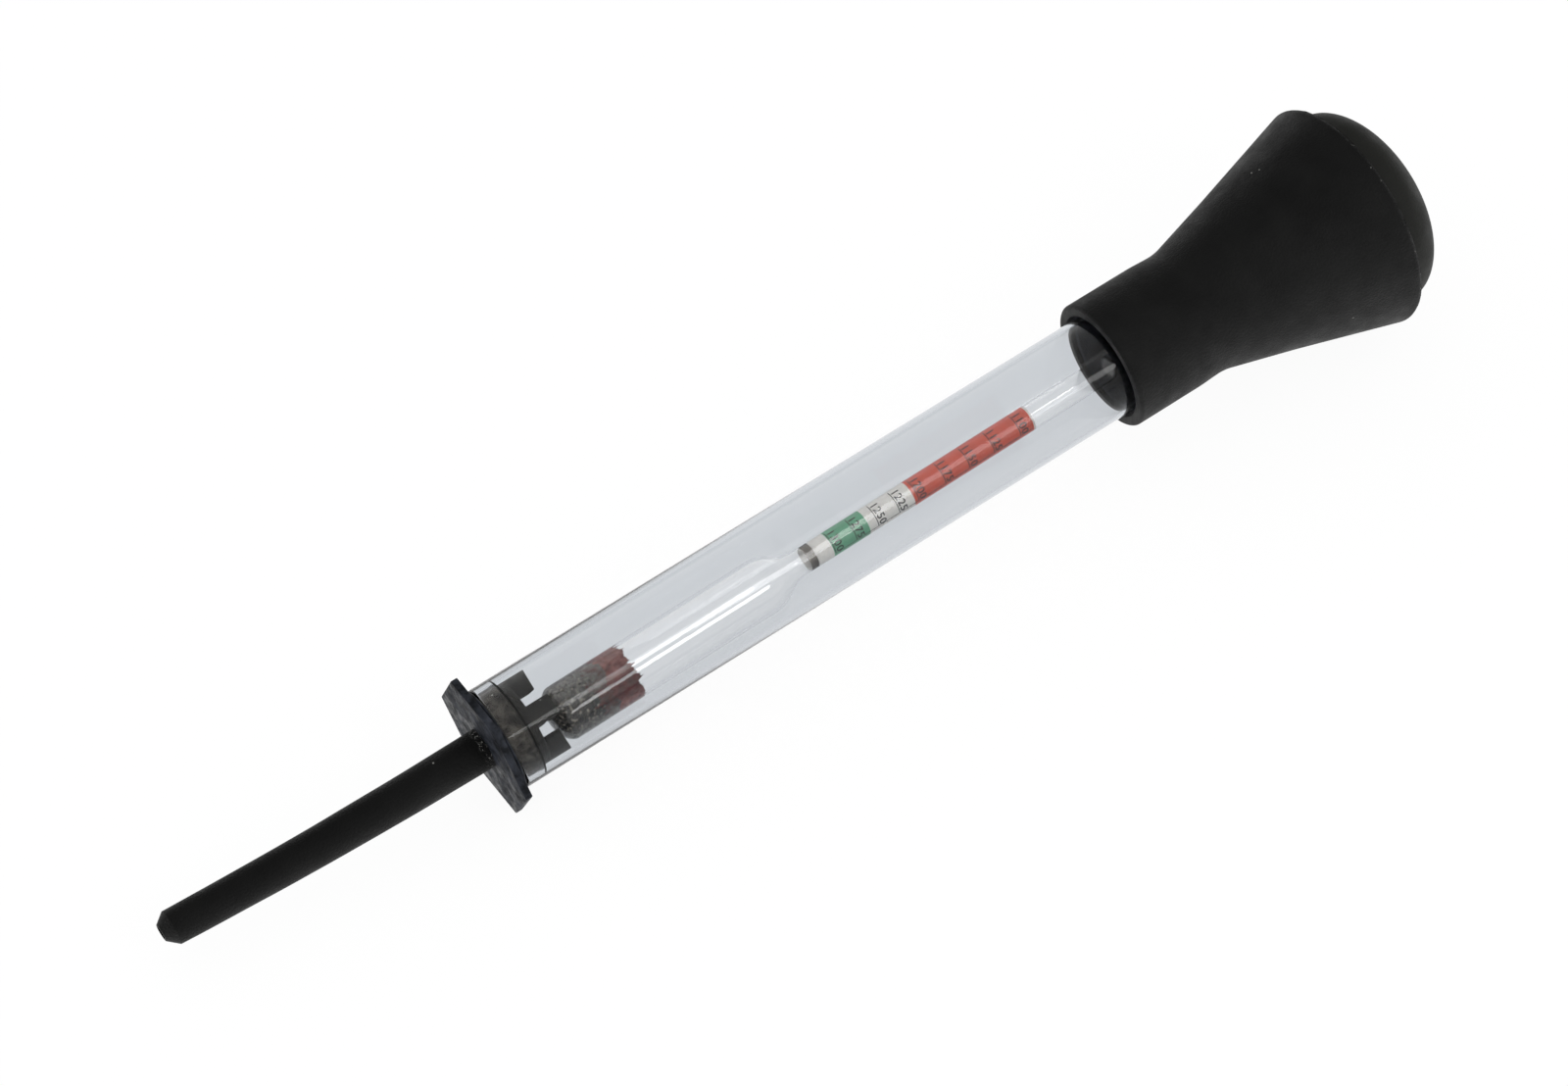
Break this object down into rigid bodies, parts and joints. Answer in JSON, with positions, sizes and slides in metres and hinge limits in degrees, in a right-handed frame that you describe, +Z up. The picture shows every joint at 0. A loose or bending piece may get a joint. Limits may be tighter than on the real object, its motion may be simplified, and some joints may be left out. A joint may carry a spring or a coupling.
{
  "type": "battery hydrometer",
  "caption": "Squeeze-bulb battery hydrometer: glass barrel with a weighted float and coloured scale, rubber suction bulb, fingered end cap and rubber dip nozzle.",
  "frame": {"origin": "on the surface it lies on, under the centre of its bounding box", "axes": "+X along the tool from nozzle to bulb, in plan; +Z up; the barrel's axis rises 3.04 degrees towards the bulb, because the tool lies on its flange and its bulb's rim"},
  "size_m": [0.2712, 0.0452, 0.0452],
  "materials": {
    "barrel_glass": "clear, faintly blue-grey, fire-polished ends",
    "cap_plastic": "satin hard plastic with moulding marks",
    "nozzle_rubber": "matte moulded rubber",
    "bulb_rubber": "matte moulded rubber",
    "dome_rubber": "smooth satin rubber",
    "float_glass": "thin clear glass",
    "ballast_shot": "dull metal grains",
    "ballast_wax": "set sealing wax with a ragged edge",
    "ring_steel": "dark bright-edged steel",
    "scale_paper": "printed paper with coloured bands"
  },
  "bodies": {
    "barrel": {"glass_barrel": "barrel_glass"},
    "cap": {"end_cap": "cap_plastic", "nozzle": "nozzle_rubber"},
    "bulb": {"rubber_bulb": "bulb_rubber"},
    "dome": {"bulb_dome": "dome_rubber"},
    "float": {"float_glass": "float_glass", "ballast_shot": "ballast_shot", "ballast_wax": "ballast_wax", "scale_ring": "ring_steel", "scale_paper": "scale_paper"}
  },
  "joints": [
    {"name": "float_rise", "type": "slide", "parent": "barrel", "child": "float", "axis": [0.9986, 0, 0.053], "range_m": [0, 0.055]},
    {"name": "bulb_pull", "type": "slide", "parent": "barrel", "child": "bulb", "axis": [0.9986, 0, 0.053], "range_m": [0, 0.02]},
    {"name": "dome_press", "type": "slide", "parent": "bulb", "child": "dome", "axis": [-0.9986, 0, -0.053], "range_m": [0, 0.004], "stiffness_N_per_m": 800},
    {"name": "cap_pull", "type": "slide", "parent": "barrel", "child": "cap", "axis": [-0.9986, 0, -0.053], "range_m": [0, 0.012]}
  ]
}
